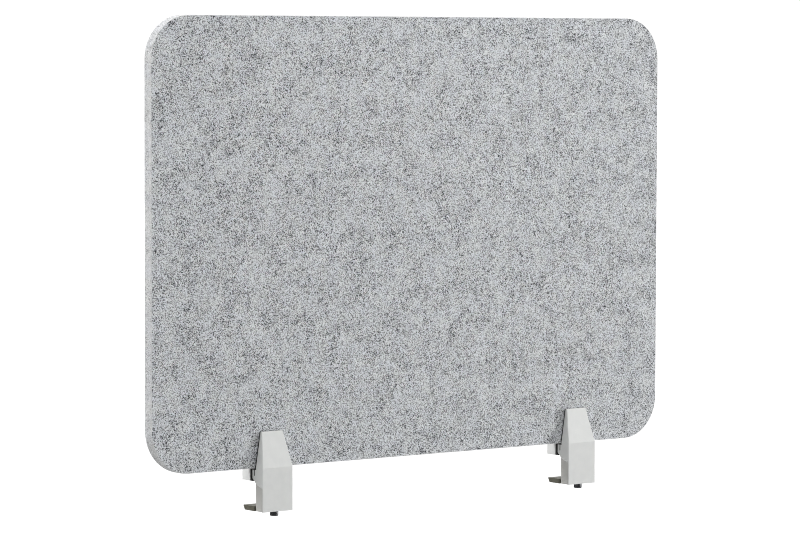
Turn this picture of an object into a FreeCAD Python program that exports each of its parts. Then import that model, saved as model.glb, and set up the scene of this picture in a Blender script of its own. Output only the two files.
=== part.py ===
"""Desk privacy panel: a pressed felt board held on a desk edge by two screw clamps.

Frame: +Z up, +X along the panel's width, +Y towards the desk. The origin is the bottom centre of
the whole object: the underside of the clamp screws' heads is at Z = 0. All lengths are millimetres.

Each clamp is drawn once in its own frame (X across the clamp, Y back from the housing's front
face, Z up from the panel's bottom edge) and placed twice along the panel.
"""
import FreeCAD
import Part
import math
import os
import Sketcher
from FreeCAD import Rotation, Vector

DRIVING_SIZES = {
    "panel_width": (650.0, "felt board, left to right"),
    "panel_height": (450.0, "felt board, bottom to top"),
    "panel_thickness": (12.0, "felt board, front to back"),
    "panel_corner_radius": (44.0, "rounding of the board's four corners"),
    "left_clamp_place": (-183.5, "left clamp's centre from the panel's centre"),
    "right_clamp_place": (210.5, "right clamp's centre from the panel's centre"),
    "clamp_width": (36.8, "housing, rear jaw and foot across X"),
    "jaw_top_width": (25.8, "both jaws at their top"),
    "crease_height": (1.0, "crease of the housing's front above the panel's bottom edge"),
    "jaw_height": (36.5, "top of the jaws above the panel's bottom edge"),
    "jaw_top_depth": (2.0, "metal at the top of each jaw"),
    "front_jaw_depth": (11.7, "housing's front face to the face that holds the liner"),
    "post_height": (43.0, "housing below the panel's bottom edge"),
    "post_depth": (14.2, "housing's lower post, front to back"),
    "edge_radius": (0.9, "rounding of the castings' outer edges"),
    "top_edge_radius": (0.6, "rounding of the jaws' top edges"),
    "seat_depth": (18.0, "housing's front face to the back of the seat under the panel"),
    "seat_drop": (9.8, "depth of the seat's rear face below the panel's bottom edge"),
    "gusset_mid_depth": (16.4, "gusset's bend, back from the front face"),
    "gusset_mid_drop": (11.6, "gusset's bend, below the panel's bottom edge"),
    "gusset_root_drop": (12.6, "where the gusset meets the post"),
    "gusset_radius": (5.0, "rounding of the gusset's bend"),
    "side_recess": (1.6, "depth of the recess in the post's sides"),
    "recess_blend": (2.6, "height over which the recess deepens under the gusset"),
    "recess_back_drop": (12.0, "recess's top edge behind the post"),
    "recess_bend_depth": (10.8, "bend of the recess's top edge, back from the front face"),
    "recess_bend_drop": (14.8, "that bend below the panel's bottom edge"),
    "recess_front_drop": (17.7, "front end of the recess's top edge"),
    "wall": (2.0, "housing's front wall"),
    "slope_wall": (2.3, "sloping wall of each jaw, measured along Y"),
    "recess_margin": (1.2, "front face to the side recess"),
    "side_wall": (3.0, "housing's side walls"),
    "rear_lip": (1.6, "lips that hold the slider in the post"),
    "web_bottom_drop": (22.5, "underside of the web that holds the nut"),
    "slot_width": (22.0, "slot in the post's back for the foot's neck"),
    "slot_top_drop": (24.0, "top of that slot below the panel's bottom edge"),
    "core_width": (21.6, "hollow in the back of each jaw"),
    "core_bottom_drop": (9.2, "floor of the hollow in the front jaw"),
    "core_depth": (9.5, "back of that hollow below the panel's edge"),
    "core_top": (30.0, "top of the hollow in each jaw"),
    "liner_thickness": (1.5, "rubber liner and rear pad"),
    "liner_leg_drop": (13.0, "bottom of the liner's rear leg"),
    "liner_leg_depth": (19.7, "housing's front face to the liner's rear leg"),
    "liner_leg_thickness": (1.8, "liner's rear leg"),
    "liner_hook": (2.5, "liner's hook, forward of the rear leg"),
    "rib_depth": (13.6, "liner's rib, back from the front face"),
    "rib_width": (1.3, "liner's rib, front to back"),
    "rib_drop": (7.5, "bottom of the liner's rib"),
    "rib_inner": (5.5, "inner end of each rib from the clamp's centre"),
    "rear_jaw_gap": (0.3, "rear jaw clear of the liner's leg and the panel's edge"),
    "rear_jaw_drop": (13.0, "underside of the rear jaw, which sits on the desk top"),
    "rear_jaw_back": (36.0, "housing's front face to the back of the rear jaw"),
    "grip_screw_drop": (6.5, "axis of the grip screw below the panel's bottom edge"),
    "counterbore_depth": (5.2, "recess for the grip screw's head"),
    "clamp_screw_depth": (6.5, "axis of the clamp screw, back from the front face"),
    "thread_diameter": (5.0, "M5 screws, outside of the thread"),
    "thread_clearance": (0.05, "screw in its nut or tapped hole, on the radius"),
    "hole_clearance": (0.25, "screw in a plain hole, on the radius"),
    "head_diameter": (8.5, "socket head"),
    "head_height": (5.0, "socket head"),
    "head_chamfer": (1.0, "socket head's outer edge"),
    "socket_width": (4.0, "hexagon socket across flats"),
    "socket_depth": (2.5, "hexagon socket"),
    "clamp_screw_length": (30.0, "clamp screw under its head"),
    "grip_screw_length": (20.0, "grip screw under its head"),
    "slide_clearance": (0.2, "slider in the post, each side"),
    "slider_height": (7.0, "slider block in the post"),
    "foot_height": (5.3, "neck of the foot"),
    "boot_depth": (14.6, "front of the rubber boot"),
    "tongue_half_width": (16.0, "metal tongue in the boot"),
    "tongue_end": (31.0, "end of the metal tongue"),
    "tongue_bottom": (1.2, "tongue above the foot's underside"),
    "tongue_thickness": (2.6, "metal tongue"),
    "boot_end": (34.8, "end of the rubber boot"),
    "boot_thickness": (5.0, "rubber boot, top to bottom"),
    "boot_slant": (2.8, "lean of the boot's end"),
    "boot_radius": (1.0, "rounding of the boot's end"),
    "ring_radius": (3.9, "retaining ring, outside"),
    "ring_groove_radius": (2.1, "bottom of the ring's groove"),
    "ring_thickness": (0.8, "retaining ring"),
    "ring_gap": (0.1, "ring above the slider"),
    "ring_opening": (2.4, "mouth of the retaining ring"),
    "nut_width": (8.0, "square nut across flats"),
    "nut_thickness": (4.0, "square nut"),
    "nut_bottom_drop": (19.0, "underside of the square nut"),
    "nut_clearance": (0.15, "square nut in its slot, each side"),
    "overrun": (2.0, "how far a cut runs past the metal"),
}


class Size:
    """A length that carries its value and the spreadsheet expression that drives it."""

    def __init__(self, value, text):
        self.value = value
        self.text = text

    def __add__(self, other):
        other = as_size(other)
        return Size(self.value + other.value, f"({self.text} + {other.text})")

    def __sub__(self, other):
        other = as_size(other)
        return Size(self.value - other.value, f"({self.text} - {other.text})")

    def __mul__(self, other):
        other = as_size(other)
        return Size(self.value * other.value, f"({self.text} * {other.text})")

    def __truediv__(self, other):
        other = as_size(other)
        return Size(self.value / other.value, f"({self.text} / {other.text})")

    def __neg__(self):
        return Size(-self.value, f"(0 - {self.text})")


def as_size(number):
    """Plain numbers take part in the same arithmetic as sizes."""
    return number if isinstance(number, Size) else Size(float(number), str(float(number)))


def write_sheet(document):
    """The spreadsheet of driving sizes: name, value with its alias, note."""
    sheet = document.addObject("Spreadsheet::Sheet", "Sizes")
    sizes = {}
    for row, (alias, (value, note)) in enumerate(DRIVING_SIZES.items(), start=1):
        sheet.set(f"A{row}", alias)
        sheet.set(f"B{row}", str(value))
        sheet.setAlias(f"B{row}", alias)
        sheet.set(f"C{row}", note)
        sizes[alias] = Size(value, f"Sizes.{alias}")
    document.recompute()
    return sizes


doc = FreeCAD.newDocument("DeskPrivacyPanel")
size = write_sheet(doc)
nothing = as_size(0.0)

# Heights and depths that several pieces share, in the clamp's frame.
base_level = size["post_height"] + size["head_height"]
half_clamp = size["clamp_width"] / 2
panel_front = size["front_jaw_depth"] + size["liner_thickness"]
panel_back = panel_front + size["panel_thickness"]
leg_back = size["liner_leg_depth"] + size["liner_leg_thickness"]
rear_jaw_front = leg_back + size["rear_jaw_gap"]
rear_jaw_face = panel_back + size["liner_thickness"]
front_of_object = -(size["rear_jaw_back"] / 2)
thread_radius = size["thread_diameter"] / 2
tapped_radius = thread_radius + size["thread_clearance"]
plain_hole_radius = thread_radius + size["hole_clearance"]
head_radius = size["head_diameter"] / 2
post_bottom = -size["post_height"]


# ---------------------------------------------------------------- drawing helpers

def start_body(name):
    """An empty body whose label names its file."""
    body = doc.addObject("PartDesign::Body", name)
    body.Label = name
    return body


def sketch_on(body, name, role, offset=nothing):
    """An empty sketch on one of the body's origin planes, moved along the plane's normal."""
    plane = next(item for item in body.Origin.OriginFeatures if item.Role == role)
    sketch = body.newObject("Sketcher::SketchObject", name)
    sketch.AttachmentSupport = [(plane, "")]
    sketch.MapMode = "FlatFace"
    sketch.setExpression("AttachmentOffset.Base.z", offset.text)
    return sketch


def fix_point(sketch, geometry, position, place):
    """Tie one point of the sketch to its sheet-driven coordinates."""
    for kind, distance in zip(("DistanceX", "DistanceY"), place):
        number = sketch.addConstraint(
            Sketcher.Constraint(kind, -1, 1, geometry, position, distance.value))
        sketch.setExpression(f"Constraints[{number}]", distance.text)


def fix_radius(sketch, geometry, radius):
    """Tie a circle's or an arc's radius to the sheet."""
    number = sketch.addConstraint(Sketcher.Constraint("Radius", geometry, radius.value))
    sketch.setExpression(f"Constraints[{number}]", radius.text)


def line_or_arc(start, end, radius):
    """The stretch between two points: straight, or an arc that bulges outwards."""
    start = Vector(start[0].value, start[1].value, 0)
    end = Vector(end[0].value, end[1].value, 0)
    if radius is None:
        return Part.LineSegment(start, end)
    chord = end - start
    towards_centre = Vector(-chord.y, chord.x, 0).normalize()
    middle = (start + end) / 2
    sagitta = radius.value - math.sqrt(radius.value ** 2 - chord.Length ** 2 / 4)
    return Part.Arc(start, middle - towards_centre * sagitta, end)


def draw_outline(sketch, corners):
    """A closed outline, counterclockwise; a corner's third value is the radius of the arc after it."""
    places = [(as_size(corner[0]), as_size(corner[1])) for corner in corners]
    radii = [corner[2] if len(corner) > 2 else None for corner in corners]
    first = sketch.GeometryCount
    count = len(corners)
    for start, end, radius in zip(places, places[1:] + places[:1], radii):
        sketch.addGeometry(line_or_arc(start, end, radius))
    for index in range(count):
        following = first + (index + 1) % count
        sketch.addConstraint(Sketcher.Constraint("Coincident", first + index, 2, following, 1))
        fix_point(sketch, first + index, 1, places[index])
        if radii[index] is not None:
            fix_radius(sketch, first + index, radii[index])


def draw_circle(sketch, centre, radius):
    """A circle held by its centre and radius."""
    centre = (as_size(centre[0]), as_size(centre[1]))
    middle = Vector(centre[0].value, centre[1].value, 0)
    number = sketch.addGeometry(Part.Circle(middle, Vector(0, 0, 1), radius.value))
    fix_point(sketch, number, 3, centre)
    fix_radius(sketch, number, radius)


def rectangle(low, high):
    """The corners of a rectangle from two opposite ones."""
    return [(low[0], low[1]), (high[0], low[1]), (high[0], high[1]), (low[0], high[1])]


def extrude(body, kind, name, sketch, length, both_sides=False, backwards=False):
    """A pad or a pocket of the sketch; a pocket that removes nothing is an error."""
    before = body.Shape.Volume if kind == "Pocket" else 0.0
    feature = body.newObject(f"PartDesign::{kind}", name)
    feature.Profile = sketch
    feature.setExpression("Length", length.text)
    feature.SideType = "Symmetric" if both_sides else "One side"
    feature.Reversed = backwards
    doc.recompute()
    if kind == "Pocket" and body.Shape.Volume > before - 1e-6:
        raise RuntimeError(f"{body.Label}.{name} cuts nothing")
    return feature


def pad_profile(body, name, corners, width):
    """A side profile in the YZ plane, padded to both sides of the clamp's centre."""
    sketch = sketch_on(body, f"{name}Sketch", "YZ_Plane")
    draw_outline(sketch, corners)
    return extrude(body, "Pad", name, sketch, width, both_sides=True)


def cut_profile(body, name, corners, width):
    """A side profile in the YZ plane, cut to both sides of the clamp's centre."""
    sketch = sketch_on(body, f"{name}Sketch", "YZ_Plane")
    draw_outline(sketch, corners)
    return extrude(body, "Pocket", name, sketch, width, both_sides=True)


def round_edges(body, name, radius, wanted):
    """Round the edges of the body's tip that the test picks."""
    base = body.Tip
    picked = [f"Edge{number}" for number, edge in enumerate(base.Shape.Edges, start=1)
              if wanted(edge)]
    if not picked:
        raise RuntimeError(f"{body.Label}.{name} finds no edges")
    feature = body.newObject("PartDesign::Fillet", name)
    feature.Base = (base, picked)
    feature.setExpression("Radius", radius.text)
    doc.recompute()
    return feature


def near(value, goal, margin=0.01):
    """Whether two lengths agree."""
    return abs(value - goal) < margin


def middle_of(edge):
    """The middle of an edge, from its bounding box."""
    return edge.BoundBox.Center


def place_body(body, across, back, up, rotation=Rotation()):
    """Put a body drawn in the clamp's frame into the object's frame."""
    body.Placement.Rotation = rotation
    body.setExpression("Placement.Base.x", across.text)
    body.setExpression("Placement.Base.y", (front_of_object + back).text)
    body.setExpression("Placement.Base.z", (base_level + up).text)


def taper_sides(body):
    """Slope both sides of a rubber piece inwards above the crease, as its jaw does."""
    half_top = size["jaw_top_width"] / 2
    outside = half_clamp + size["overrun"]
    above = size["jaw_height"] + size["overrun"]
    crease = size["crease_height"]
    sketch = sketch_on(body, "TaperSketch", "XZ_Plane")
    for side in (1, -1):
        draw_outline(sketch, [(half_clamp * side, crease), (outside * side, crease),
                              (outside * side, above), (half_top * side, above),
                              (half_top * side, size["jaw_height"])])
    depth = size["rear_jaw_back"] * 2
    return extrude(body, "Pocket", "Taper", sketch, depth + size["overrun"], both_sides=True)


# ---------------------------------------------------------------- the panel

def make_panel():
    """The felt board: one sheet with rounded corners."""
    body = start_body("felt_panel")
    half = size["panel_width"] / 2
    sketch = sketch_on(body, "BoardSketch", "XZ_Plane")
    draw_outline(sketch, rectangle((-half, nothing), (half, size["panel_height"])))
    extrude(body, "Pad", "Board", sketch, size["panel_thickness"], backwards=True)
    round_edges(body, "Corners", size["panel_corner_radius"],
                lambda edge: near(edge.Length, size["panel_thickness"].value))
    place_body(body, nothing, panel_front, nothing)
    return body


# ---------------------------------------------------------------- the clamp's castings

def jaw_section(body, name, level, half_width, face, outer):
    """Plan of a jaw at one level: a flat face to the panel and two rounded outer corners."""
    way = 1 if outer.value > face.value else -1
    radius = size["edge_radius"]
    side = half_width * way
    before_corner = outer - radius * way
    flat_end = (half_width - radius) * way
    sketch = sketch_on(body, name, "XY_Plane", level)
    draw_outline(sketch, [
        (-side, face), (side, face), (side, before_corner, radius),
        (flat_end, outer), (-flat_end, outer, radius), (-side, before_corner),
    ])
    return sketch


def add_sloping_jaw(body, face, outer_bottom, outer_top):
    """The jaw above the crease, narrowing and leaning to its top."""
    loft = body.newObject("PartDesign::AdditiveLoft", "SlopingJaw")
    bottom = jaw_section(body, "JawBottomSketch", size["crease_height"], half_clamp,
                         face, outer_bottom)
    top = jaw_section(body, "JawTopSketch", size["jaw_height"], size["jaw_top_width"] / 2,
                      face, outer_top)
    loft.Profile = bottom
    loft.Sections = [top]
    loft.Ruled = True
    doc.recompute()
    round_edges(body, "TopEdges", size["top_edge_radius"], lambda edge: near(
        middle_of(edge).z, size["jaw_height"].value) and not near(middle_of(edge).y, face.value))


def round_outer_corners(body, outer):
    """Round the upright corners of a casting on its outer side."""
    round_edges(body, "OuterCorners", size["edge_radius"], lambda edge: near(
        middle_of(edge).y, outer.value) and near(abs(middle_of(edge).x), half_clamp.value))


def make_housing(name):
    """Front jaw, seat and hollow post in one casting."""
    body = start_body(name)
    jaw_back = size["front_jaw_depth"]
    seat_level = -size["liner_thickness"]
    pad_profile(body, "Casting", [
        (nothing, post_bottom), (size["post_depth"], post_bottom),
        (size["post_depth"], -size["gusset_root_drop"]),
        (size["gusset_mid_depth"], -size["gusset_mid_drop"]),
        (size["seat_depth"], -size["seat_drop"]), (size["seat_depth"], seat_level),
        (jaw_back, seat_level), (jaw_back, size["crease_height"]),
        (nothing, size["crease_height"]),
    ], size["clamp_width"])
    round_edges(body, "GussetBend", size["gusset_radius"], lambda edge: near(
        middle_of(edge).y, size["gusset_mid_depth"].value) and near(middle_of(edge).x, 0))
    round_outer_corners(body, nothing)
    add_sloping_jaw(body, jaw_back, nothing, jaw_back - size["jaw_top_depth"])
    cut_housing_sides(body)
    cut_housing_hollows(body)
    cut_housing_screw_ways(body)
    return body


def cut_housing_sides(body):
    """A recess in each side of the post that deepens gently under the line of the gusset."""
    stations = (
        ("Back", size["post_depth"] + size["overrun"], size["recess_back_drop"]),
        ("Bend", size["recess_bend_depth"], size["recess_bend_drop"]),
        ("Front", size["recess_margin"], size["recess_front_drop"]))
    for side, label in ((1, "Right"), (-1, "Left")):
        for (rear, rear_depth, rear_drop), (fore, fore_depth, fore_drop) in zip(stations, stations[1:]):
            name = f"{label}{rear}Recess"
            profile = recess_section(body, f"{name}RearSketch", side, rear_depth, -rear_drop)
            section = recess_section(body, f"{name}ForeSketch", side, fore_depth, -fore_drop)
            uncut = body.Tip.Shape.Volume
            recess = body.newObject("PartDesign::SubtractiveLoft", name)
            recess.Profile = profile
            recess.Sections = [section]
            recess.Ruled = True
            doc.recompute()
            if recess.Shape.Volume >= uncut:
                raise RuntimeError(f"{body.Label}.{recess.Name} cuts nothing")


def recess_section(body, name, side, back, ridge):
    """Section of a side recess at one distance back: its slanted top, wall and open side."""
    below = post_bottom - size["overrun"]
    inner = (half_clamp - size["side_recess"]) * side
    outer = (half_clamp + size["overrun"]) * side
    sketch = sketch_on(body, name, "XZ_Plane", -back)
    draw_outline(sketch, [
        (half_clamp * side, ridge), (inner, ridge - size["recess_blend"]), (inner, below),
        (outer, below), (outer, ridge),
    ])
    return sketch


def cut_housing_hollows(body):
    """The slider's cavity, the foot's slot, the nut's slot and the core of the jaw."""
    below = post_bottom - size["overrun"]
    behind = size["post_depth"] + size["overrun"]
    cavity_back = size["post_depth"] - size["rear_lip"]
    cut_profile(body, "Cavity", rectangle(
        (size["wall"], below), (cavity_back, -size["web_bottom_drop"])),
        size["clamp_width"] - size["side_wall"] * 2)
    cut_profile(body, "FootSlot", rectangle(
        (cavity_back, below), (behind, -size["slot_top_drop"])), size["slot_width"])
    half_nut = size["nut_width"] / 2 + size["nut_clearance"]
    nut_top = size["nut_thickness"] + size["nut_clearance"] - size["nut_bottom_drop"]
    cut_profile(body, "NutSlot", rectangle(
        (size["clamp_screw_depth"] - half_nut, -size["nut_bottom_drop"]), (behind, nut_top)),
        half_nut * 2)
    lean = (size["front_jaw_depth"] - size["jaw_top_depth"]) / (
        size["jaw_height"] - size["crease_height"])
    slope_start = size["slope_wall"]
    slope_end = slope_start + lean * (size["core_top"] - size["crease_height"])
    cut_profile(body, "Core", [
        (slope_start, -size["core_bottom_drop"]), (size["core_depth"], -size["core_bottom_drop"]),
        (size["core_depth"], size["liner_thickness"]),
        (behind, size["liner_thickness"]), (behind, size["core_top"]),
        (slope_end, size["core_top"]), (slope_start, size["crease_height"]),
    ], size["core_width"])


def cut_housing_screw_ways(body):
    """The clamp screw's bore, the grip screw's tapped hole and the grooves for the liner's ribs."""
    bore = sketch_on(body, "ScrewWaySketch", "XY_Plane", -size["web_bottom_drop"])
    draw_circle(bore, (nothing, size["clamp_screw_depth"]), plain_hole_radius)
    extrude(body, "Pocket", "ScrewWay", bore,
            size["web_bottom_drop"] - size["core_bottom_drop"], backwards=True)
    tapped = sketch_on(body, "TappedHoleSketch", "XZ_Plane", -size["seat_depth"])
    draw_circle(tapped, (nothing, -size["grip_screw_drop"]), tapped_radius)
    extrude(body, "Pocket", "TappedHole", tapped, size["seat_depth"] - size["core_depth"],
            backwards=True)
    grooves = sketch_on(body, "RibGroovesSketch", "XY_Plane", -size["rib_drop"])
    for side in (1, -1):
        draw_outline(grooves, rib_outline(side, half_clamp + size["overrun"]))
    extrude(body, "Pocket", "RibGrooves", grooves,
            size["rib_drop"] - size["liner_thickness"], backwards=True)


def rib_outline(side, outer_end):
    """Plan of one rib, from near the clamp's centre to its side."""
    return rectangle((size["rib_inner"] * side, size["rib_depth"]),
                     (outer_end * side, size["rib_depth"] + size["rib_width"]))


def make_rear_jaw(name):
    """The loose jaw behind the panel, with the counterbored hole for the grip screw."""
    body = start_body(name)
    under_panel = -size["rear_jaw_gap"]
    bottom = -size["rear_jaw_drop"]
    back = size["rear_jaw_back"]
    top_back = rear_jaw_face + size["jaw_top_depth"]
    pad_profile(body, "Casting", [
        (rear_jaw_front, bottom), (back, bottom), (back, size["crease_height"]),
        (rear_jaw_face, size["crease_height"]),
        (rear_jaw_face, under_panel), (rear_jaw_front, under_panel),
    ], size["clamp_width"])
    round_outer_corners(body, back)
    add_sloping_jaw(body, rear_jaw_face, back, top_back)
    lean = (back - top_back) / (size["jaw_height"] - size["crease_height"])
    slope_start = back - size["slope_wall"]
    slope_end = slope_start - lean * (size["core_top"] - size["crease_height"])
    before_face = rear_jaw_face - size["overrun"]
    cut_profile(body, "Core", [
        (before_face, size["crease_height"]), (slope_start, size["crease_height"]),
        (slope_end, size["core_top"]), (before_face, size["core_top"]),
    ], size["core_width"])
    cut_grip_screw_hole(body)
    return body


def cut_grip_screw_hole(body):
    """A plain hole through the block with a counterbore from its back."""
    back = size["rear_jaw_back"]
    axis = (nothing, -size["grip_screw_drop"])
    sketch = sketch_on(body, "ScrewHoleSketch", "XZ_Plane", -back)
    draw_circle(sketch, axis, plain_hole_radius)
    extrude(body, "Pocket", "ScrewHole", sketch, back - rear_jaw_front, backwards=True)
    sketch = sketch_on(body, "CounterboreSketch", "XZ_Plane", -back)
    draw_circle(sketch, axis, head_radius + size["hole_clearance"])
    extrude(body, "Pocket", "Counterbore", sketch, size["counterbore_depth"], backwards=True)


# ---------------------------------------------------------------- rubber

def make_liner(name):
    """Rubber strip: up the front jaw, under the panel and down behind the seat."""
    body = start_body(name)
    front = size["front_jaw_depth"]
    under = -size["liner_thickness"]
    leg_bottom = -size["liner_leg_drop"]
    leg_front = size["liner_leg_depth"]
    hook_front = leg_front - size["liner_hook"]
    hook_top = leg_bottom + size["liner_thickness"]
    pad_profile(body, "Strip", [
        (front, size["jaw_height"]), (panel_front, size["jaw_height"]), (panel_front, nothing),
        (leg_back, nothing), (leg_back, leg_bottom), (hook_front, leg_bottom),
        (hook_front, hook_top), (leg_front, hook_top), (leg_front, under), (front, under),
    ], size["clamp_width"])
    taper_sides(body)
    ribs = sketch_on(body, "RibsSketch", "XY_Plane", -size["rib_drop"])
    for side in (1, -1):
        draw_outline(ribs, rib_outline(side, half_clamp))
    extrude(body, "Pad", "Ribs", ribs, size["rib_drop"] - size["liner_thickness"])
    hole = sketch_on(body, "ScrewHoleSketch", "XZ_Plane", -leg_back)
    draw_circle(hole, (nothing, -size["grip_screw_drop"]), plain_hole_radius)
    extrude(body, "Pocket", "ScrewHole", hole, size["liner_leg_thickness"], backwards=True)
    return body


def make_rear_pad(name):
    """Rubber sheet on the face of the rear jaw."""
    body = start_body(name)
    pad_profile(body, "Sheet", rectangle((panel_back, nothing), (rear_jaw_face, size["jaw_height"])),
                size["clamp_width"])
    taper_sides(body)
    return body


def make_boot(name):
    """Rubber boot over the foot's tongue, with a slanted end."""
    body = start_body(name)
    top = post_bottom + size["boot_thickness"]
    pad_profile(body, "Boot", [
        (size["boot_depth"], post_bottom), (size["boot_end"] - size["boot_slant"], post_bottom),
        (size["boot_end"], top), (size["boot_depth"], top),
    ], size["clamp_width"])
    round_edges(body, "EndEdges", size["boot_radius"], lambda edge: middle_of(edge).y > (
        size["boot_end"] - size["boot_slant"]).value - 0.01)
    tongue_bottom = post_bottom + size["tongue_bottom"]
    cut_profile(body, "TonguePocket", rectangle(
        (size["boot_depth"] - size["overrun"], tongue_bottom),
        (size["tongue_end"], tongue_bottom + size["tongue_thickness"])),
        size["tongue_half_width"] * 2)
    return body


# ---------------------------------------------------------------- lower jaw, nut, screws

def make_lower_jaw(name):
    """The sliding foot: block in the post, neck through the slot and tongue."""
    body = start_body(name)
    play = size["slide_clearance"]
    cavity_back = size["post_depth"] - size["rear_lip"]
    foot_top = post_bottom + size["foot_height"]
    tongue_bottom = post_bottom + size["tongue_bottom"]
    pad_profile(body, "Slider", rectangle(
        (size["wall"] + play, post_bottom),
        (cavity_back - play, post_bottom + size["slider_height"])),
        size["clamp_width"] - size["side_wall"] * 2 - play * 2)
    pad_profile(body, "Neck", rectangle(
        (cavity_back - play, post_bottom), (size["boot_depth"], foot_top)),
        size["slot_width"] - play * 2)
    pad_profile(body, "Tongue", rectangle(
        (size["boot_depth"], tongue_bottom),
        (size["tongue_end"], tongue_bottom + size["tongue_thickness"])),
        size["tongue_half_width"] * 2)
    sketch = sketch_on(body, "ScrewHoleSketch", "XY_Plane", post_bottom)
    draw_circle(sketch, (nothing, size["clamp_screw_depth"]), plain_hole_radius)
    extrude(body, "Pocket", "ScrewHole", sketch, size["slider_height"], backwards=True)
    return body


def make_nut(name):
    """Square nut, drawn about its own axis."""
    body = start_body(name)
    half = size["nut_width"] / 2
    sketch = sketch_on(body, "NutSketch", "XY_Plane")
    draw_outline(sketch, rectangle((-half, -half), (half, half)))
    draw_circle(sketch, (nothing, nothing), tapped_radius)
    extrude(body, "Pad", "Nut", sketch, size["nut_thickness"])
    return body


def hexagon(width_across_flats):
    """The six corners of a hexagon about the origin."""
    reach = width_across_flats / math.sqrt(3)
    return [(reach * math.cos(math.radians(turn)), reach * math.sin(math.radians(turn)))
            for turn in range(0, 360, 60)]


def make_screw(name, length, groove_level=None):
    """Socket head screw on the Z axis: head below the XY plane, shank above it."""
    body = start_body(name)
    chamfer = size["head_chamfer"]
    outline = [
        (nothing, -size["head_height"]), (head_radius - chamfer, -size["head_height"]),
        (head_radius, chamfer - size["head_height"]), (head_radius, nothing),
        (thread_radius, nothing),
    ]
    if groove_level is not None:
        groove_top = groove_level + size["ring_thickness"]
        outline += [
            (thread_radius, groove_level), (size["ring_groove_radius"], groove_level),
            (size["ring_groove_radius"], groove_top), (thread_radius, groove_top),
        ]
    outline += [(thread_radius, length - chamfer), (thread_radius - chamfer, length),
                (nothing, length)]
    sketch = sketch_on(body, "TurnedSketch", "XZ_Plane")
    draw_outline(sketch, outline)
    turned = body.newObject("PartDesign::Revolution", "Turned")
    turned.Profile = sketch
    turned.ReferenceAxis = (sketch, ["V_Axis"])
    turned.Angle = 360.0
    doc.recompute()
    socket = sketch_on(body, "SocketSketch", "XY_Plane", -size["head_height"])
    draw_outline(socket, hexagon(size["socket_width"]))
    extrude(body, "Pocket", "Socket", socket, size["socket_depth"], backwards=True)
    return body


def make_ring(name):
    """Open retaining ring that sits in the clamp screw's groove."""
    body = start_body(name)
    sketch = sketch_on(body, "RingSketch", "XY_Plane")
    draw_circle(sketch, (nothing, nothing), size["ring_radius"])
    draw_circle(sketch, (nothing, nothing), size["ring_groove_radius"])
    extrude(body, "Pad", "Ring", sketch, size["ring_thickness"])
    half_mouth = size["ring_opening"] / 2
    mouth = sketch_on(body, "MouthSketch", "XY_Plane")
    draw_outline(mouth, rectangle((-half_mouth, nothing), (half_mouth, size["ring_radius"] * 2)))
    extrude(body, "Pocket", "Mouth", mouth, size["ring_thickness"], backwards=True)
    return body


# ---------------------------------------------------------------- assembly

def make_clamp(side, centre):
    """All the pieces of one clamp, placed on the panel's bottom edge."""
    groove_level = size["slider_height"] + size["ring_gap"]
    drawn_in_place = [
        make_housing(f"{side}_housing"), make_liner(f"{side}_front_liner"),
        make_rear_jaw(f"{side}_rear_jaw"), make_rear_pad(f"{side}_rear_pad"),
        make_lower_jaw(f"{side}_lower_jaw"), make_boot(f"{side}_foot_boot"),
    ]
    for body in drawn_in_place:
        place_body(body, centre, nothing, nothing)
    clamp_screw = make_screw(f"{side}_clamp_screw", size["clamp_screw_length"], groove_level)
    place_body(clamp_screw, centre, size["clamp_screw_depth"], post_bottom)
    ring = make_ring(f"{side}_retaining_ring")
    place_body(ring, centre, size["clamp_screw_depth"], post_bottom + groove_level)
    nut = make_nut(f"{side}_clamp_nut")
    place_body(nut, centre, size["clamp_screw_depth"], -size["nut_bottom_drop"])
    grip_screw = make_screw(f"{side}_grip_screw", size["grip_screw_length"])
    place_body(grip_screw, centre, size["rear_jaw_back"] - size["counterbore_depth"],
               -size["grip_screw_drop"], Rotation(Vector(1, 0, 0), 90))
    return drawn_in_place + [clamp_screw, ring, nut, grip_screw]


def check_document(bodies):
    """Stop before anything is written if a feature failed or a body isn't one good solid."""
    for item in doc.Objects:
        if "Invalid" in item.State or "Error" in item.State:
            raise RuntimeError(f"{item.Name} is {item.State}")
    for body in bodies:
        shape = body.Shape
        if shape.isNull() or not shape.isValid() or len(shape.Solids) != 1:
            raise RuntimeError(f"{body.Label} isn't one valid solid")


def write_parts(bodies):
    """One STEP file for each body, named after its label."""
    os.makedirs("parts", exist_ok=True)
    for body in bodies:
        body.Shape.exportStep(f"parts/{body.Label}.step")
        bounds = body.Shape.BoundBox
        print(f"{body.Label}: {body.Shape.Volume:.1f} mm3, "
              f"X {bounds.XMin:.2f}..{bounds.XMax:.2f}, Y {bounds.YMin:.2f}..{bounds.YMax:.2f}, "
              f"Z {bounds.ZMin:.2f}..{bounds.ZMax:.2f}")


pieces = [make_panel()]
pieces += make_clamp("left", size["left_clamp_place"])
pieces += make_clamp("right", size["right_clamp_place"])
doc.recompute()
check_document(pieces)
write_parts(pieces)
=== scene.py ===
"""Looks of the desk privacy panel: a pressed felt board in two painted clamps.

Lengths are metres in the CAD frame: +Z up, +X along the board, +Y towards the desk.
Materials work in millimetres, so that a fibre or a paint ripple is given at its real size.
"""
import bmesh
import bpy
import math
from mathutils import Matrix, Vector, noise


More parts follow.
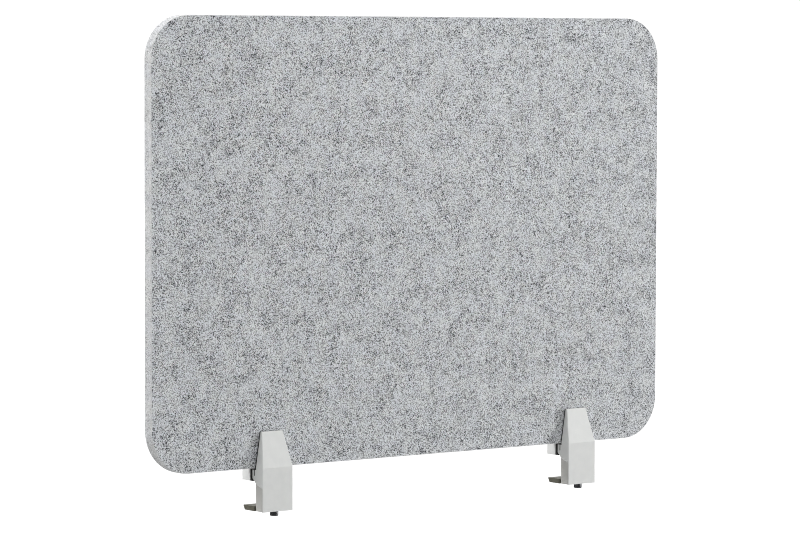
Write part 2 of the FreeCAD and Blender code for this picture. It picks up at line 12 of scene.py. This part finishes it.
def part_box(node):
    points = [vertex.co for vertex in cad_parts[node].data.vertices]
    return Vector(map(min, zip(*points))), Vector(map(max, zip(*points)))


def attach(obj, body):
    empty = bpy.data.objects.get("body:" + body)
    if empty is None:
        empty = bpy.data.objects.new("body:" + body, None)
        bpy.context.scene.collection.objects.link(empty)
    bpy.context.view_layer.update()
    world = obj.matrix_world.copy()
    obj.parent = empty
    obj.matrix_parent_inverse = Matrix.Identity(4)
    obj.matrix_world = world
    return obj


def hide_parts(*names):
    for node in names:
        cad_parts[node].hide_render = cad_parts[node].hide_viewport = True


MM = 0.001
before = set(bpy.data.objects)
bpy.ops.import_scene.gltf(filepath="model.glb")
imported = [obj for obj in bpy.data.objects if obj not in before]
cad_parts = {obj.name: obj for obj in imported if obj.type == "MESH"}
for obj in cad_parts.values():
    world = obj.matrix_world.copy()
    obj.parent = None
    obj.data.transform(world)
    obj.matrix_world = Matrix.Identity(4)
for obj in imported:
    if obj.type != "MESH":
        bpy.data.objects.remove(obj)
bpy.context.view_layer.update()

SIDES = ("left", "right")

BOARD_CORNER = 44 * MM
CORNER_STEPS = 30
BOARD_ARRIS = 0.8 * MM
ARRIS_STEPS = 4
BOARD_GRID = 3.2 * MM
EDGE_GRID = 1.2 * MM
SURFACE_ALLOWANCE = 0.10 * MM
LUMP_SIZE = 9 * MM
LUMP_HEIGHT = 0.07 * MM
BROAD_LUMP_SIZE = 38 * MM
BROAD_LUMP_HEIGHT = 0.08 * MM

SCREW_SIDES = 96
SCREW_PITCH = 0.8 * MM
ROWS_PER_PITCH = 8
THREAD_DEPTH = 0.45 * MM
THREAD_STEEPNESS = 2.2
THREAD_START = 1.2 * MM
THREAD_END = 0.2 * MM
SOCKET_WIDTH = 4 * MM
SOCKET_DEPTH = 2.5 * MM
SOCKET_POINT = 0.5 * MM
SOCKET_POINT_RADIUS = 0.1 * MM
SOCKET_CHAMFER = 0.25 * MM
SOCKET_MOUTH = SOCKET_WIDTH * 0.60
HEAD_RADIUS = 4.25 * MM
HEAD_HEIGHT = 5 * MM
HEAD_CHAMFER = 1 * MM
HEAD_CHAMFER_STEPS = 6
RIB_COUNT = 32
RIB_DEPTH = 0.12 * MM
RIB_START = 0.3 * MM
RIB_END = 0.55 * MM
UNDER_HEAD = ((0.15 * MM, 0.3 * MM), (0.35 * MM, 0.0))
SHANK_RADIUS = 2.5 * MM
SCREW_CREASE = 32

# Where the painted shade on the post's recessed sides begins: a slanted line in Y and Z, and its
# soft fade.
RIDGE_SLOPE = 0.36
RIDGE_LEVEL = 36.4 * MM
RIDGE_FADE = (0.5 * MM, 2.2 * MM)

CAST_BEVEL = 0.25 * MM
SMALL_BEVEL = 0.2 * MM
BOOT_BEVEL = 0.3 * MM
WELD_DISTANCE = 0.002 * MM
FLAT_ANGLE = 1.0
BEVEL_ANGLE = 28


# ---------------------------------------------------------------- camera, lights, stage

CAMERA_PLACE = Vector((-2.2809, -2.9902, 0.4696))
CAMERA_YAW = math.radians(37.1151)
CAMERA_PITCH = math.radians(3.4625)
CAMERA_ROLL = math.radians(0.1491)
CAMERA_LENS = 165.285
FLOOR_LEVEL = -0.72
BRIGHT_SIDE = Vector((0.6, 0.3, 0.75))
DIM_SURROUNDINGS = 0.25
BRIGHT_SURROUNDINGS = 1.08
FLOOR_TONE = 0.46
FLOOR_LIFT = 0.75
FLOOR_SIZE = 40
LIGHTS = (
    # name, place, aim, size, power
    ("key", (3.5, -1.9, 0.9), (0, 0, 0.27), 1.4, 84),
    ("rim", (-1.3, 0.9, 2.6), (-0.2, 0, 0.2), 1.4, 67),
    ("edge", (-1.35, 0.02, 0.41), (-0.3, 0, 0.22), 0.3, 4.4),
    ("top", (0.2, -1.1, 1.5), (0, 0, 0.42), 0.8, 8.5),
)


def make_camera():
    """The camera of the reference view: yaw to the right of +Y, pitch down, a trace of roll."""
    data = bpy.data.cameras.new("camera")
    data.lens = CAMERA_LENS
    data.sensor_width = 36.0
    data.clip_end = 100.0
    camera = bpy.data.objects.new("camera", data)
    bpy.context.scene.collection.objects.link(camera)
    turn = (Matrix.Rotation(-CAMERA_YAW, 3, "Z")
            @ Matrix.Rotation(math.pi / 2 - CAMERA_PITCH, 3, "X")
            @ Matrix.Rotation(CAMERA_ROLL, 3, "Z"))
    camera.location = CAMERA_PLACE
    camera.rotation_euler = turn.to_euler()
    bpy.context.scene.camera = camera


def area_light(name, place, aim, size, power):
    """A square soft box at a place, turned to its aim."""
    data = bpy.data.lights.new(name, "AREA")
    data.shape = "SQUARE"
    data.size = size
    data.energy = power
    lamp = bpy.data.objects.new(name, data)
    lamp.location = place
    lamp.rotation_euler = (Vector(aim) - Vector(place)).to_track_quat("-Z", "Y").to_euler()
    bpy.context.scene.collection.objects.link(lamp)


def make_world():
    """Soft surroundings, dimmer to the front left; the camera sees them as plain white."""
    world = bpy.data.worlds.new("studio")
    bpy.context.scene.world = world
    world.use_nodes = True
    nodes = world.node_tree.nodes
    links = world.node_tree.links
    nodes.clear()
    output = nodes.new("ShaderNodeOutputWorld")
    mix = nodes.new("ShaderNodeMixShader")
    path = nodes.new("ShaderNodeLightPath")
    place = nodes.new("ShaderNodeTexCoord")
    facing = nodes.new("ShaderNodeVectorMath")
    facing.operation = "DOT_PRODUCT"
    facing.inputs[1].default_value = BRIGHT_SIDE.normalized()
    level = nodes.new("ShaderNodeMapRange")
    level.interpolation_type = "SMOOTHSTEP"
    level.inputs["From Min"].default_value = -0.1
    level.inputs["To Min"].default_value = DIM_SURROUNDINGS
    level.inputs["To Max"].default_value = BRIGHT_SURROUNDINGS
    soft = nodes.new("ShaderNodeBackground")
    soft.inputs["Color"].default_value = (0.99, 0.995, 1.0, 1)
    white = nodes.new("ShaderNodeBackground")
    white.inputs["Color"].default_value = (1, 1, 1, 1)
    white.inputs["Strength"].default_value = 1.05
    links.new(place.outputs["Generated"], facing.inputs[0])
    links.new(facing.outputs["Value"], level.inputs["Value"])
    links.new(level.outputs["Result"], soft.inputs["Strength"])
    links.new(path.outputs["Is Camera Ray"], mix.inputs["Fac"])
    links.new(soft.outputs["Background"], mix.inputs[1])
    links.new(white.outputs["Background"], mix.inputs[2])
    links.new(mix.outputs["Shader"], output.inputs["Surface"])


def make_stage():
    """A plain pale floor, a desk's height below the object."""
    bpy.ops.mesh.primitive_plane_add(size=FLOOR_SIZE, location=(0, 0, FLOOR_LEVEL))
    floor = bpy.context.object
    floor.name = "floor"
    tree = Tree("floor_pale")
    path = tree.nodes.new("ShaderNodeLightPath")
    lift = tree.math("MULTIPLY", path.outputs["Is Camera Ray"], FLOOR_LIFT)
    tree.shader((FLOOR_TONE, FLOOR_TONE, FLOOR_TONE, 1), 0.8, Emission_Color=(1, 1, 1, 1),
                Emission_Strength=lift)
    floor.data.materials.append(tree.material)


def set_film():
    """Plain colour response and a crisp image, so that fine fibres aren't smeared."""
    scene = bpy.context.scene
    scene.view_settings.view_transform = "Standard"
    scene.cycles.denoising_prefilter = "NONE"
    scene.cycles.filter_width = 1.05


# ---------------------------------------------------------------- shader building

class Tree:
    """A material's node tree with short calls for the few nodes used here."""

    def __init__(self, name):
        self.material = bpy.data.materials.new(name)
        self.material.use_nodes = True
        self.nodes = self.material.node_tree.nodes
        self.links = self.material.node_tree.links
        self.nodes.clear()

    def node(self, kind, **inputs):
        """A node whose named inputs get a value or a link."""
        made = self.nodes.new(kind)
        for name, value in inputs.items():
            self.put(made.inputs[name.replace("_", " ")], value)
        return made

    def put(self, socket, value):
        """Give a socket a constant or another node's output."""
        if isinstance(value, bpy.types.NodeSocket):
            self.links.new(value, socket)
        else:
            socket.default_value = value

    def color(self, red, green, blue):
        """A constant colour."""
        return (red, green, blue, 1.0)

    def math(self, operation, first, second=0.0, third=0.0, clamp=False):
        """A maths node."""
        made = self.nodes.new("ShaderNodeMath")
        made.operation = operation
        made.use_clamp = clamp
        for socket, value in zip(made.inputs, (first, second, third)):
            self.put(socket, value)
        return made.outputs[0]

    def mix(self, factor, first, second):
        """One colour over another."""
        made = self.nodes.new("ShaderNodeMix")
        made.data_type = "RGBA"
        self.put(made.inputs[0], factor)
        self.put(made.inputs[6], first)
        self.put(made.inputs[7], second)
        return made.outputs[2]

    def ramp(self, value, low, high, start=0.0, end=1.0):
        """A smooth step: start at low, end at high."""
        made = self.nodes.new("ShaderNodeMapRange")
        made.interpolation_type = "SMOOTHSTEP"
        for socket, item in zip(made.inputs, (value, low, high, start, end)):
            self.put(socket, item)
        return made.outputs[0]

    def millimetres(self, shift=(0, 0, 0), stretch=(1, 1, 1)):
        """The surface point in millimetres, moved and stretched."""
        place = self.nodes.new("ShaderNodeTexCoord")
        made = self.nodes.new("ShaderNodeMapping")
        made.inputs["Location"].default_value = shift
        made.inputs["Scale"].default_value = [1000 * part for part in stretch]
        self.links.new(place.outputs["Object"], made.inputs["Vector"])
        return made.outputs["Vector"]

    def noise(self, point, grain, detail=2.0, rough=0.5, twist=0.0):
        """Noise whose blobs are about grain millimetres across."""
        made = self.node("ShaderNodeTexNoise", Vector=point, Scale=1.0 / grain, Detail=detail,
                         Roughness=rough, Distortion=twist)
        return made.outputs["Fac"]

    def shader(self, color, roughness, metallic=0.0, height=None, depth=0.0, **inputs):
        """The finished surface; height is a bump in units of depth metres."""
        surface = self.node("ShaderNodeBsdfPrincipled", Base_Color=color, Roughness=roughness,
                            Metallic=metallic)
        for name, value in inputs.items():
            self.put(surface.inputs[name.replace("_", " ")], value)
        if height is not None:
            bump = self.node("ShaderNodeBump", Height=height, Distance=depth, Strength=1.0)
            self.links.new(bump.outputs["Normal"], surface.inputs["Normal"])
        output = self.nodes.new("ShaderNodeOutputMaterial")
        self.links.new(surface.outputs["BSDF"], output.inputs["Surface"])
        return self.material


# ---------------------------------------------------------------- materials

GRAIN_PART = 0.7
TANGLE_LOW = -0.03
TANGLE_HIGH = 0.085


def strands(tree, shift, spacing, width, patch, cover, twist=1.2):
    """Curved hairs: where a smooth noise crosses its middle, kept only in patches."""
    field = tree.noise(tree.millimetres(shift), spacing, detail=1.0, twist=twist)
    distance = tree.math("ABSOLUTE", tree.math("SUBTRACT", field, 0.5))
    line = tree.ramp(distance, width * 0.25, width, 1.0, 0.0)
    where = tree.noise(tree.millimetres((shift[2], shift[0], shift[1])), patch, detail=1.5)
    return tree.math("MULTIPLY", line, tree.ramp(where, 1 - cover - 0.06, 1 - cover + 0.06))


def felt_material(name, pale, dark, mixed, dark_share, light_share):
    """Marl felt: pale and dark fibres, gathered in dark clouds between smoother pale patches.

    mixed is the share of dark fibre in the palest and darkest spots of a fully mixed place;
    dark_share and light_share are how much a dark or a pale hair changes that share.
    """
    tree = Tree(name)
    # Every noise has its own shift, so that no two patterns line up.
    cloud = tree.noise(tree.millimetres((11, 7, 3)), 26, detail=3.0, rough=0.6)
    patch = tree.noise(tree.millimetres((-40, 5, 90)), 8, detail=2.0, rough=0.6)
    grain = tree.noise(tree.millimetres((5, 50, 9)), 0.85, detail=0.0)
    web = tree.noise(tree.millimetres((25, 5, 19)), 1.7, detail=0.5, twist=0.8)
    web = tree.math("ABSOLUTE", tree.math("SUBTRACT", web, 0.5))
    gathered = tree.math("MULTIPLY", tree.ramp(cloud, 0.36, 0.64, 0.22, 1.0),
                         tree.ramp(patch, 0.34, 0.64, 0.40, 1.08))
    thick = strands(tree, (3, 1, 8), 3.4, 0.060, 9.0, 0.50)
    thin_hairs_and_shaded_coat = strands(tree, (31, 17, 4), 2.4, 0.070, 6.0, 0.52, 1.6)
    short = strands(tree, (8, 61, 44), 1.5, 0.090, 4.0, 0.50, 1.0)
    hairs = tree.math("MAXIMUM", tree.math("MAXIMUM", thick, thin_hairs_and_shaded_coat), short)
    hairs = tree.math("MULTIPLY", hairs, gathered)
    bright = tree.math("MAXIMUM", strands(tree, (71, 5, 20), 3.2, 0.06, 6.0, 0.50, 1.5),
                       strands(tree, (15, 33, 77), 1.9, 0.08, 4.0, 0.50, 1.2))
    lint = tree.math("SUBTRACT", strands(tree, (44, 9, 51), 1.3, 0.045, 2.0, 0.65, 2.0),
                     strands(tree, (19, 72, 6), 1.1, 0.045, 2.0, 0.65, 2.0))
    least, most = mixed
    crest = tree.math("MULTIPLY_ADD", gathered, most * 0.45, most * 0.62)
    trough = tree.math("MULTIPLY_ADD", gathered, -least, least * 1.8)
    tangle = tree.math("MULTIPLY_ADD", grain, GRAIN_PART, web)
    share = tree.ramp(tangle, GRAIN_PART * 0.5 + TANGLE_LOW, GRAIN_PART * 0.5 + TANGLE_HIGH,
                      crest, trough)
    share = tree.math("MULTIPLY_ADD", hairs, dark_share, share)
    share = tree.math("MULTIPLY_ADD", bright, -light_share, share)
    share = tree.math("MULTIPLY_ADD", lint, 0.30, share, clamp=True)
    tint = tree.noise(tree.millimetres((2, 90, 14)), 14, detail=1.0)
    cool = tree.color(pale[0] * 0.985, pale[1] * 0.99, pale[2] * 1.005)
    warm = tree.color(pale[0] * 1.01, pale[1] * 1.01, pale[2] * 0.995)
    colour = tree.mix(share, tree.mix(tree.ramp(tint, 0.35, 0.65), cool, warm), tree.color(*dark))
    height = tree.math("ADD", tangle, tree.math("MULTIPLY_ADD", lint, 0.5, bright))
    return tree.shader(colour, 0.95, height=height, depth=0.00018, Sheen_Weight=0.10,
                       Sheen_Roughness=0.6, Specular_IOR_Level=0.2)


def paint_material(name, low, high, recess_shade_tone=(1.0, 1.0, 1.0)):
    """White powder coat: faint orange peel and slightly uneven gloss.

    The recess tone darkens the coat on the post's recessed sides, below the slanted ridge:
    painted shade.
    """
    tree = Tree(name)
    point = tree.millimetres((4, 9, 2))
    peel = tree.noise(point, 0.9, detail=1.0)
    flow = tree.noise(point, 9.0, detail=2.0)
    colour = tree.mix(tree.ramp(flow, 0.3, 0.7), tree.color(*low), tree.color(*high))
    # Painted shade: a darker copy of the coat for the post's recessed sides below the ridge,
    # mixed in by the mask.
    thin_hairs_and_shaded_coat = tree.mix(tree.ramp(flow, 0.3, 0.7),
                    tree.color(*[part * tone for part, tone in zip(low, recess_shade_tone)]),
                    tree.color(*[part * tone for part, tone in zip(high, recess_shade_tone)]))
    colour = tree.mix(recess_shade_mask(tree), colour, thin_hairs_and_shaded_coat)
    return tree.shader(colour, tree.ramp(flow, 0.2, 0.8, 0.50, 0.60), height=peel, depth=0.00003,
                       Specular_IOR_Level=0.3)


def recess_shade_mask(tree):
    """1 on faces that look along X below the ridge of the post's side recess, 0 elsewhere: where
    the coat is given painted shade.
    """
    axes = tree.nodes.new("ShaderNodeTexCoord")
    facing = tree.node("ShaderNodeSeparateXYZ", Vector=axes.outputs["Normal"])
    sideways = tree.ramp(tree.math("ABSOLUTE", facing.outputs["X"]), 0.90, 0.96)
    place = tree.node("ShaderNodeSeparateXYZ", Vector=axes.outputs["Object"])
    ridge = tree.math("MULTIPLY_ADD", place.outputs["Y"], RIDGE_SLOPE, RIDGE_LEVEL)
    below = tree.math("SUBTRACT", ridge, place.outputs["Z"])
    return tree.math("MULTIPLY", sideways, tree.ramp(below, *RIDGE_FADE))


def rubber_material(name, tone, roughness):
    """Moulded rubber: matt, with a fine grain and a dusty bloom."""
    tree = Tree(name)
    grain = tree.noise(tree.millimetres((2, 8, 5)), 0.35, detail=2.0)
    bloom = tree.noise(tree.millimetres((9, 1, 6)), 6.0, detail=3.0)
    colour = tree.mix(tree.ramp(bloom, 0.35, 0.7), tree.color(*tone),
                      tree.color(*[part * 1.35 + 0.004 for part in tone]))
    return tree.shader(colour, roughness, height=grain, depth=0.00004, Specular_IOR_Level=0.4)


def steel_material(name, tone, roughness, metallic):
    """Turned steel with fine tool marks and patchy finish."""
    tree = Tree(name)
    marks = tree.noise(tree.millimetres((1, 2, 3), (1, 1, 6)), 0.5, detail=3.0)
    patch = tree.noise(tree.millimetres((7, 5, 3)), 2.5, detail=2.0)
    colour = tree.mix(tree.ramp(patch, 0.3, 0.7), tree.color(*tone),
                      tree.color(*[part * 1.3 for part in tone]))
    return tree.shader(colour, tree.ramp(patch, 0.2, 0.8, roughness - 0.06, roughness + 0.08),
                       metallic=metallic, height=marks, depth=0.00001)


# ---------------------------------------------------------------- mesh building

def finish_mesh(name, mesh_tool, body, node, materials):
    """Turn a bmesh into a piece that stands for a CAD node and moves with its body."""
    mesh = bpy.data.meshes.new(name)
    bmesh.ops.recalc_face_normals(mesh_tool, faces=mesh_tool.faces)
    mesh_tool.to_mesh(mesh)
    mesh_tool.free()
    for face in mesh.polygons:
        face.use_smooth = True
    for material in materials:
        mesh.materials.append(material)
    piece = bpy.data.objects.new(name, mesh)
    bpy.context.scene.collection.objects.link(piece)
    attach(piece, body)
    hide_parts(node)
    return piece


def spread(low, high, step):
    """Even places from low to high, about a step apart."""
    count = max(1, round((high - low) / step))
    return [low + (high - low) * index / count for index in range(count + 1)]


def quarter_turn(steps):
    """Angles from 0 to a right angle."""
    return [math.pi / 2 * index / steps for index in range(steps + 1)]


class BoardOutline:
    """Rounded rectangle that can be inset, walked as a grid of rows and columns."""

    def __init__(self, low, high):
        self.centre = (low + high) / 2
        self.half_width = (high.x - low.x) / 2
        self.half_height = (high.z - low.z) / 2
        turns = quarter_turn(CORNER_STEPS)
        straight = self.half_height - BOARD_CORNER
        levels = spread(-straight, straight, BOARD_GRID)[1:-1]
        self.rows = [("turn", -1, turn) for turn in reversed(turns)]
        self.rows += [("straight", level, 0) for level in levels]
        self.rows += [("turn", 1, turn) for turn in turns]
        self.columns = spread(-1.0, 1.0, BOARD_GRID / self.half_width)

    def point(self, column, row, inset):
        """X and Z of one grid point, with the outline moved inwards by the inset."""
        kind, place, turn = self.rows[row]
        half = self.half_width - inset
        if kind == "straight":
            return self.centre.x + self.columns[column] * half, self.centre.z + place
        radius = BOARD_CORNER - inset
        half = half - radius + radius * math.cos(turn)
        level = self.half_height - BOARD_CORNER + radius * math.sin(turn)
        return self.centre.x + self.columns[column] * half, self.centre.z + place * level

    def rim(self):
        """Columns and rows of the outline, once round."""
        last_column = len(self.columns) - 1
        last_row = len(self.rows) - 1
        around = [(column, 0) for column in range(last_column)]
        around += [(last_column, row) for row in range(last_row)]
        around += [(column, last_row) for column in range(last_column, 0, -1)]
        around += [(0, row) for row in range(last_row, 0, -1)]
        return around


def felt_swell(x, y, z):
    """How far the pressed surface stands out or in at a point: soft lumps of the batt."""
    lumps = noise.noise(Vector((x, y, z)) / LUMP_SIZE) * LUMP_HEIGHT
    broad = noise.noise(Vector((x + 3, y, z)) / BROAD_LUMP_SIZE) * BROAD_LUMP_HEIGHT
    return lumps + broad


def make_board(face_material, edge_material, arris_material):
    """The felt board: two gently uneven faces joined round a cut edge with soft arrises."""
    low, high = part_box("felt_panel")
    outline = BoardOutline(low, high)
    tool = bmesh.new()
    faces = {}
    for side, level in ((-1, low.y), (1, high.y)):
        grid = [[tool.verts.new(board_face_point(outline, column, row, side, level))
                 for column in range(len(outline.columns))]
                for row in range(len(outline.rows))]
        faces[side] = grid
        for row in range(len(outline.rows) - 1):
            for column in range(len(outline.columns) - 1):
                tool.faces.new((grid[row][column], grid[row][column + 1],
                                grid[row + 1][column + 1], grid[row + 1][column]))
    rim = outline.rim()
    loops = [[faces[-1][row][column] for column, row in rim]]
    for inset, level in board_edge_profile(low.y, high.y):
        loops.append([tool.verts.new(board_edge_point(outline, column, row, inset, level))
                      for column, row in rim])
    loops.append([faces[1][row][column] for column, row in rim])
    last_arc = len(loops) - 1 - ARRIS_STEPS
    for band, (first, second) in enumerate(zip(loops, loops[1:])):
        for index in range(len(rim)):
            following = (index + 1) % len(rim)
            face = tool.faces.new((first[index], first[following],
                                   second[following], second[index]))
            face.material_index = 1 if ARRIS_STEPS <= band < last_arc else 2
    finish_mesh("felt_board", tool, "panel", "felt_panel",
                [face_material, edge_material, arris_material])


def board_face_point(outline, column, row, side, level):
    """A point of a face, lifted by the felt's unevenness."""
    x, z = outline.point(column, row, BOARD_ARRIS)
    return Vector((x, level + side * (felt_swell(x, side, z) - SURFACE_ALLOWANCE), z))


def board_edge_profile(front, back):
    """Inset and Y of the rings round the edge, from the front face to the back."""
    front_arc = [(BOARD_ARRIS * (1 - math.sin(turn)), front + BOARD_ARRIS * (1 - math.cos(turn)))
                 for turn in quarter_turn(ARRIS_STEPS)[1:]]
    levels = spread(front + BOARD_ARRIS, back - BOARD_ARRIS, EDGE_GRID)[1:-1]
    middle = [(0.0, level) for level in levels]
    back_arc = [(inset, front + back - level) for inset, level in reversed(front_arc)]
    return front_arc + middle + back_arc


def board_edge_point(outline, column, row, inset, level):
    """A point of the cut edge, pulled in a little by the felt's unevenness."""
    x, z = outline.point(column, row, inset)
    pull = SURFACE_ALLOWANCE + felt_swell(x, level * 2, z)
    x_in, z_in = outline.point(column, row, inset + pull)
    return Vector((x_in, level, z_in))


# ---------------------------------------------------------------- hardware

def ring_of(tool, radius_at, level):
    """One ring of vertices about the Z axis, its radius a function of the angle."""
    ring = []
    for index in range(SCREW_SIDES):
        angle = 2 * math.pi * index / SCREW_SIDES
        radius = radius_at(angle)
        ring.append(tool.verts.new((radius * math.cos(angle), radius * math.sin(angle), level)))
    return ring


def bridge(tool, first, second):
    """Quads between two rings of a screw."""
    for index in range(SCREW_SIDES):
        following = (index + 1) % SCREW_SIDES
        tool.faces.new((first[index], first[following], second[following], second[index]))


def hexagon_radius(angle):
    """Distance from the centre to a hexagon socket's wall."""
    sector = math.radians(60)
    return SOCKET_WIDTH / 2 / math.cos((angle + sector / 2) % sector - sector / 2)


def ribbed(angle):
    """Radius of the screw head's side: fine upright ribs."""
    return HEAD_RADIUS - RIB_DEPTH * (0.5 + 0.5 * math.cos(angle * RIB_COUNT))


def plain(radius):
    """A round ring's radius."""
    return lambda angle: radius


def thread(level):
    """Radius between root and crest of the helix at a level; the first turn runs out."""
    fade = min(1.0, (level - THREAD_START) / SCREW_PITCH)

    def radius_at(angle):
        phase = (level / SCREW_PITCH - angle / (2 * math.pi)) % 1.0
        return SHANK_RADIUS - THREAD_DEPTH * fade * min(1.0, THREAD_STEEPNESS * abs(phase - 0.5))

    return radius_at


def head_rings(tool):
    """Rings from the socket's floor over the face and down the ribbed side to the shank."""
    face_radius = HEAD_RADIUS - HEAD_CHAMFER
    socket_floor = -HEAD_HEIGHT + SOCKET_DEPTH
    profile = [
        (plain(SOCKET_POINT_RADIUS), socket_floor + SOCKET_POINT),
        (hexagon_radius, socket_floor),
        (hexagon_radius, -HEAD_HEIGHT + SOCKET_CHAMFER),
        (plain(SOCKET_MOUTH), -HEAD_HEIGHT),
    ]
    profile += [(plain(face_radius + HEAD_CHAMFER * math.sin(turn)),
                 -HEAD_HEIGHT + HEAD_CHAMFER * (1 - math.cos(turn)))
                for turn in quarter_turn(HEAD_CHAMFER_STEPS)]
    profile += [(ribbed, -HEAD_HEIGHT + HEAD_CHAMFER + RIB_START), (ribbed, -RIB_END)]
    profile += [(plain(HEAD_RADIUS - inset), -drop) for inset, drop in UNDER_HEAD]
    profile += [(plain(SHANK_RADIUS), 0.0)]
    return [ring_of(tool, radius_at, level) for radius_at, level in profile]


def shank_rings(tool, length):
    """Rings along the thread to its blunt end."""
    rings = []
    rows = round((length - THREAD_START) / SCREW_PITCH * ROWS_PER_PITCH)
    for row in range(rows + 1):
        level = THREAD_START + (length - THREAD_START - THREAD_END) * row / rows
        rings.append(ring_of(tool, thread(level), level))
    rings.append(ring_of(tool, plain(SHANK_RADIUS - THREAD_DEPTH * 1.2), length))
    return rings


def make_screw(name, body, node, matrix, length, black):
    """Socket head cap screw: ribbed head, hexagon socket and a cut thread."""
    tool = bmesh.new()
    rings = head_rings(tool) + shank_rings(tool, length)
    for first, second in zip(rings, rings[1:]):
        bridge(tool, first, second)
    tool.faces.new(rings[0])
    tool.faces.new(rings[-1])
    bmesh.ops.transform(tool, matrix=matrix, verts=tool.verts)
    piece = finish_mesh(name, tool, body, node, [black])
    soften_by_angle(piece, SCREW_CREASE)


def make_clamp_screw(side, black):
    """The screw that raises the foot: upright, its head at the bottom."""
    low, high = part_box(f"{side}_clamp_screw")
    centre = (low + high) / 2
    upright = Matrix.Translation((centre.x, centre.y, low.z + HEAD_HEIGHT))
    make_screw(f"{side}_clamp_cap_screw", f"{side}_clamp_bolt", f"{side}_clamp_screw", upright,
               high.z - low.z - HEAD_HEIGHT, black)


def make_grip_screw(side, black):
    """The screw that pulls the rear jaw: level, its head at the back."""
    low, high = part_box(f"{side}_grip_screw")
    centre = (low + high) / 2
    level = (Matrix.Translation((centre.x, high.y - HEAD_HEIGHT, centre.z))
             @ Matrix.Rotation(math.pi / 2, 4, "X"))
    make_screw(f"{side}_grip_cap_screw", f"{side}_grip_bolt", f"{side}_grip_screw", level,
               high.y - low.y - HEAD_HEIGHT, black)


def soften_by_angle(piece, degrees):
    """Shade smooth except where faces meet at more than the angle."""
    limit = math.radians(degrees)
    tool = bmesh.new()
    tool.from_mesh(piece.data)
    for edge in tool.edges:
        edge.smooth = not (len(edge.link_faces) == 2 and edge.calc_face_angle() > limit)
    tool.to_mesh(piece.data)
    tool.free()


def dress_node(node, material, bevel=0.0):
    """Give a CAD node its material, and break its sharp edges as a casting's are."""
    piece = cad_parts[node]
    piece.data.materials.clear()
    piece.data.materials.append(material)
    if not bevel:
        return
    weld = piece.modifiers.new("weld", "WELD")
    weld.merge_threshold = WELD_DISTANCE
    flat = piece.modifiers.new("flat", "DECIMATE")
    flat.decimate_type = "DISSOLVE"
    flat.angle_limit = math.radians(FLAT_ANGLE)
    soft = piece.modifiers.new("soft", "BEVEL")
    soft.width = bevel
    soft.segments = 3
    soft.limit_method = "ANGLE"
    soft.angle_limit = math.radians(BEVEL_ANGLE)
    soft.harden_normals = True


# ---------------------------------------------------------------- the scene

make_camera()
make_world()
make_stage()
for light in LIGHTS:
    area_light(*light)
set_film()

felt = felt_material("grey_marl_felt", (0.872, 0.890, 0.914), (0.034, 0.036, 0.042),
                     (0.04, 1.2), 0.50, 0.25)
cut_felt = felt_material("cut_felt", (0.735, 0.741, 0.751), (0.12, 0.12, 0.124),
                         (0.06, 0.7), 0.3, 0.3)
# Paler felt on the rounded arrises: a painted highlight along the board's edges.
arris_highlight_felt = felt_material("arris_highlight_felt", (0.80, 0.804, 0.812), (0.30, 0.30, 0.304),
                              (0.02, 0.3), 0.2, 0.3)
# The third colour of the white coat is the painted shade on the posts' recessed sides.
paint = paint_material("white_powder_coat", (0.668, 0.676, 0.664), (0.694, 0.701, 0.687),
                       (0.79, 0.775, 0.755))
# A paler copy of the housing's white coat for the rear jaws: painted light, for the brighter
# light they catch from behind.
lit_jaw_paint = paint_material("paler_jaw_coat_painted_light", (0.745, 0.750, 0.738), (0.770, 0.774, 0.762))
black_rubber = rubber_material("black_rubber", (0.022, 0.022, 0.022), 0.62)
brown_rubber = rubber_material("brown_rubber", (0.080, 0.077, 0.058), 0.50)
black_oxide = steel_material("black_oxide", (0.075, 0.075, 0.079), 0.24, 0.9)
zinc = steel_material("zinc_plate", (0.55, 0.56, 0.57), 0.34, 1.0)

make_board(felt, cut_felt, arris_highlight_felt)
for side in SIDES:
    dress_node(f"{side}_housing", paint, CAST_BEVEL)
    dress_node(f"{side}_rear_jaw", lit_jaw_paint, CAST_BEVEL)
    dress_node(f"{side}_lower_jaw", paint, SMALL_BEVEL)
    dress_node(f"{side}_front_liner", black_rubber, SMALL_BEVEL)
    dress_node(f"{side}_rear_pad", black_rubber, SMALL_BEVEL)
    dress_node(f"{side}_foot_boot", brown_rubber, BOOT_BEVEL)
    dress_node(f"{side}_clamp_nut", zinc, SMALL_BEVEL)
    dress_node(f"{side}_retaining_ring", zinc)
    make_clamp_screw(side, black_oxide)
    make_grip_screw(side, black_oxide)
